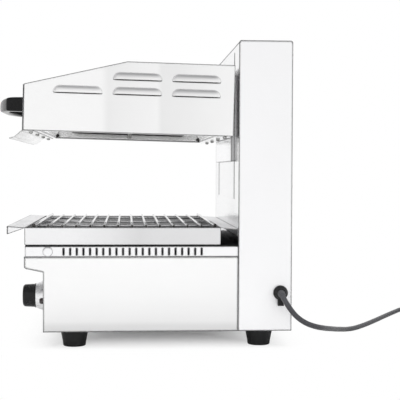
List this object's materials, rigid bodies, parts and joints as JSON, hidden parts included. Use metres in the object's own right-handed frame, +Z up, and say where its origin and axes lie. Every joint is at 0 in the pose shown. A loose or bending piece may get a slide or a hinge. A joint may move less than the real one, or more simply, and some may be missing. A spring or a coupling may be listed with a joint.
{
  "type": "cheese melter",
  "caption": "Countertop salamander grill with a height-adjustable electric top heater over a drip tray and wire rack, on a vented base with a rear lift column.",
  "frame": {"origin": "on the table under the middle of the appliance, midway between its side panels and midway front to back", "axes": "+Z up, the front with knob and handle faces -Y, +X is the operator's right, where the cord leaves"},
  "size_m": [0.5724, 1.0051, 0.53],
  "materials": {
    "brushed_stainless": "brushed stainless sheet",
    "polished_stainless": "bright rolled stainless sheet",
    "galvanised_sheet": "dull galvanised sheet",
    "plated_screws": "zinc plated",
    "ground_steel": "ground and hardened",
    "spring_wire": "drawn wire",
    "cast_aluminium": "cast and machined",
    "bright_wire": "bright drawn wire",
    "heater_sheath": "oxidised tubular heater sheath",
    "white_ceramic": "matt glaze",
    "mineral_fibre": "loose fibre board",
    "black_phenolic": "satin moulded",
    "spun_aluminium": "satin spun",
    "lamp_lens": "dark lens",
    "black_rubber": "matt",
    "cord_jacket": "matt rubber jacket"
  },
  "bodies": {
    "root": {"base_casing": "brushed_stainless", "control_panel": "brushed_stainless", "bottom_plate": "galvanised_sheet", "bottom_screws": "plated_screws", "rubber_feet": "black_rubber", "foot_screws": "plated_screws", "vent_band": "brushed_stainless", "side_plugs": "brushed_stainless", "top_deck": "galvanised_sheet", "column_casing": "brushed_stainless", "column_front": "brushed_stainless", "column_back": "brushed_stainless", "cover_screws": "plated_screws", "guide_rods": "ground_steel", "upper_rod_bracket": "galvanised_sheet", "lower_rod_bracket": "galvanised_sheet", "spring_anchor": "galvanised_sheet", "balance_springs": "spring_wire", "cable_wraps": "spring_wire", "lift_cables": "spring_wire", "spring_cables": "spring_wire", "energy_regulator": "black_phenolic", "pilot_lamp": "lamp_lens", "terminal_block": "white_ceramic", "base_leads": "cord_jacket", "head_lead": "cord_jacket", "cord_gland": "cord_jacket", "power_cord": "cord_jacket", "cord_coil": "cord_jacket", "mains_plug": "cord_jacket"},
    "head": {"lift_bracket": "polished_stainless", "carriage": "cast_aluminium", "linear_bushings": "ground_steel", "head_bolts": "plated_screws", "bracket_spacers": "plated_screws", "head_casing": "brushed_stainless", "head_front": "brushed_stainless", "head_rear": "brushed_stainless", "bottom_frame": "polished_stainless", "frame_screws": "plated_screws", "front_deflector": "polished_stainless", "reflector": "polished_stainless", "insulation": "mineral_fibre", "heating_elements": "heater_sheath", "element_bushes": "white_ceramic", "element_supports": "bright_wire", "handle": "black_phenolic", "handle_screws": "plated_screws"},
    "pulley_set": {"pulley_shaft": "ground_steel", "cable_pulleys": "cast_aluminium"},
    "spring_pulls": {"spring_heads": "spring_wire"},
    "knob_set": {"knob": "black_phenolic", "knob_skirt": "spun_aluminium", "control_spindle": "ground_steel"},
    "tray": {"grill_tray": "brushed_stainless", "tray_sides": "brushed_stainless"},
    "rack": {"wire_rack": "bright_wire"}
  },
  "joints": [
    {"name": "head_lift", "type": "slide", "parent": "root", "child": "head", "axis": [0, 0, 1], "range_m": [-0.064, 0.037], "deforming": ["lift_cables", "head_lead"]},
    {"name": "pulley_turn", "type": "hinge", "parent": "root", "child": "pulley_set", "pos_m": [0, 0.22, 0.49], "axis": [1, 0, 0], "range_deg": [-108, 185]},
    {"name": "spring_travel", "type": "slide", "parent": "root", "child": "spring_pulls", "axis": [0, 0, 1], "range_m": [-0.038, 0.065], "deforming": ["balance_springs", "spring_cables"]},
    {"name": "knob_turn", "type": "hinge", "parent": "root", "child": "knob_set", "pos_m": [0.13, -0.1738, 0.081], "axis": [0, 1, 0], "range_deg": [0, 300]},
    {"name": "tray_slide", "type": "slide", "parent": "root", "child": "tray", "axis": [0, -1, 0], "range_m": [0, 0.18]},
    {"name": "rack_lift", "type": "slide", "parent": "tray", "child": "rack", "axis": [0, 0, 1], "range_m": [0, 0.05]}
  ],
  "couplings": [
    {"joint": "pulley_turn", "follows": "head_lift", "rad_per_m": -50},
    {"joint": "spring_travel", "follows": "head_lift", "ratio": -1}
  ]
}
